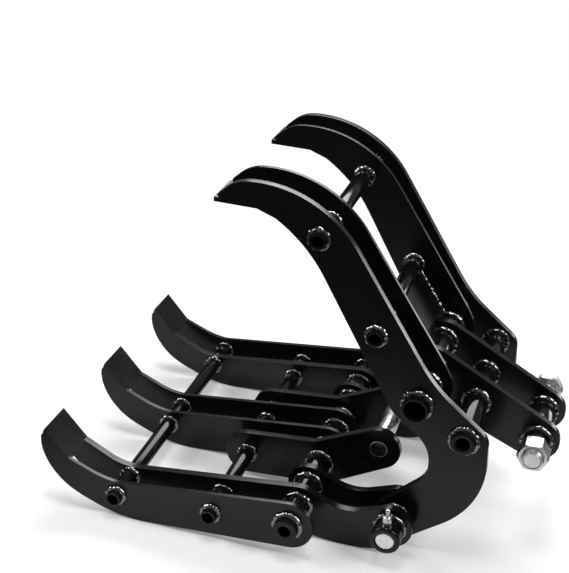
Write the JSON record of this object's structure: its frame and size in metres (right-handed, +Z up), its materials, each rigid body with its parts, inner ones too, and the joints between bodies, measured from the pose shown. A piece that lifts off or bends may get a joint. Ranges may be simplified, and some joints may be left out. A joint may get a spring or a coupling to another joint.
{
  "type": "log grapple",
  "caption": "Log grapple for a small excavator: plate-built lower and upper jaws with hooked tines, hinged on greased pins, with a stick pin and a link bolt.",
  "frame": {"origin": "on the floor under the middle of the grapple as it stands open", "axes": "+X from the tine tips towards the heel and link bolt, +Y to the right side with the bolt head, +Z up"},
  "size_m": [0.652, 0.446, 0.4728],
  "materials": {
    "black_paint": "gloss black coating",
    "bright_steel": "bright zinc plated"
  },
  "bodies": {
    "lower_jaw": {"lower_outer_plate_left": "black_paint", "lower_hinge_plate_left": "black_paint", "lower_middle_plate_left": "black_paint", "lower_tip_left": "black_paint", "hinge_strap_left": "black_paint", "stick_ear_left": "black_paint", "hinge_sleeve_left": "black_paint", "hinge_pin_left": "bright_steel", "grease_nipple_left": "bright_steel", "lower_outer_plate_right": "black_paint", "lower_hinge_plate_right": "black_paint", "lower_middle_plate_right": "black_paint", "lower_tip_right": "black_paint", "hinge_strap_right": "black_paint", "stick_ear_right": "black_paint", "hinge_sleeve_right": "black_paint", "hinge_pin_right": "bright_steel", "grease_nipple_right": "bright_steel", "lower_tip_middle": "black_paint", "front_cross_tube": "black_paint", "middle_cross_tube": "black_paint", "rear_cross_tube": "black_paint"},
    "upper_jaw": {"upper_main_plate_left": "black_paint", "upper_inner_plate_left": "black_paint", "upper_tip_left": "black_paint", "hinge_barrel_left": "black_paint", "link_plate_left": "black_paint", "upper_main_plate_right": "black_paint", "upper_inner_plate_right": "black_paint", "upper_tip_right": "black_paint", "hinge_barrel_right": "black_paint", "link_plate_right": "black_paint", "upper_front_tube": "black_paint", "upper_middle_tube": "black_paint", "heel_tube": "black_paint", "brace_tube": "black_paint", "upper_web": "black_paint", "link_tube": "black_paint"},
    "stick_pin_body": {"stick_pin": "bright_steel"},
    "link_bolt_body": {"link_bolt": "bright_steel", "link_nut": "bright_steel"}
  },
  "joints": [
    {"name": "jaw_hinge", "type": "hinge", "parent": "lower_jaw", "child": "upper_jaw", "pos_m": [0.13761, 0, 0.0435], "axis": [0, -1, 0], "range_deg": [-25, 60]},
    {"name": "stick_pin_turn", "type": "hinge", "parent": "lower_jaw", "child": "stick_pin_body", "pos_m": [0.09531, 0, 0.08896], "axis": [0, 1, 0], "continuous": true},
    {"name": "link_bolt_turn", "type": "hinge", "parent": "upper_jaw", "child": "link_bolt_body", "pos_m": [0.29653, 0, 0.13999], "axis": [0, 1, 0], "continuous": true}
  ]
}
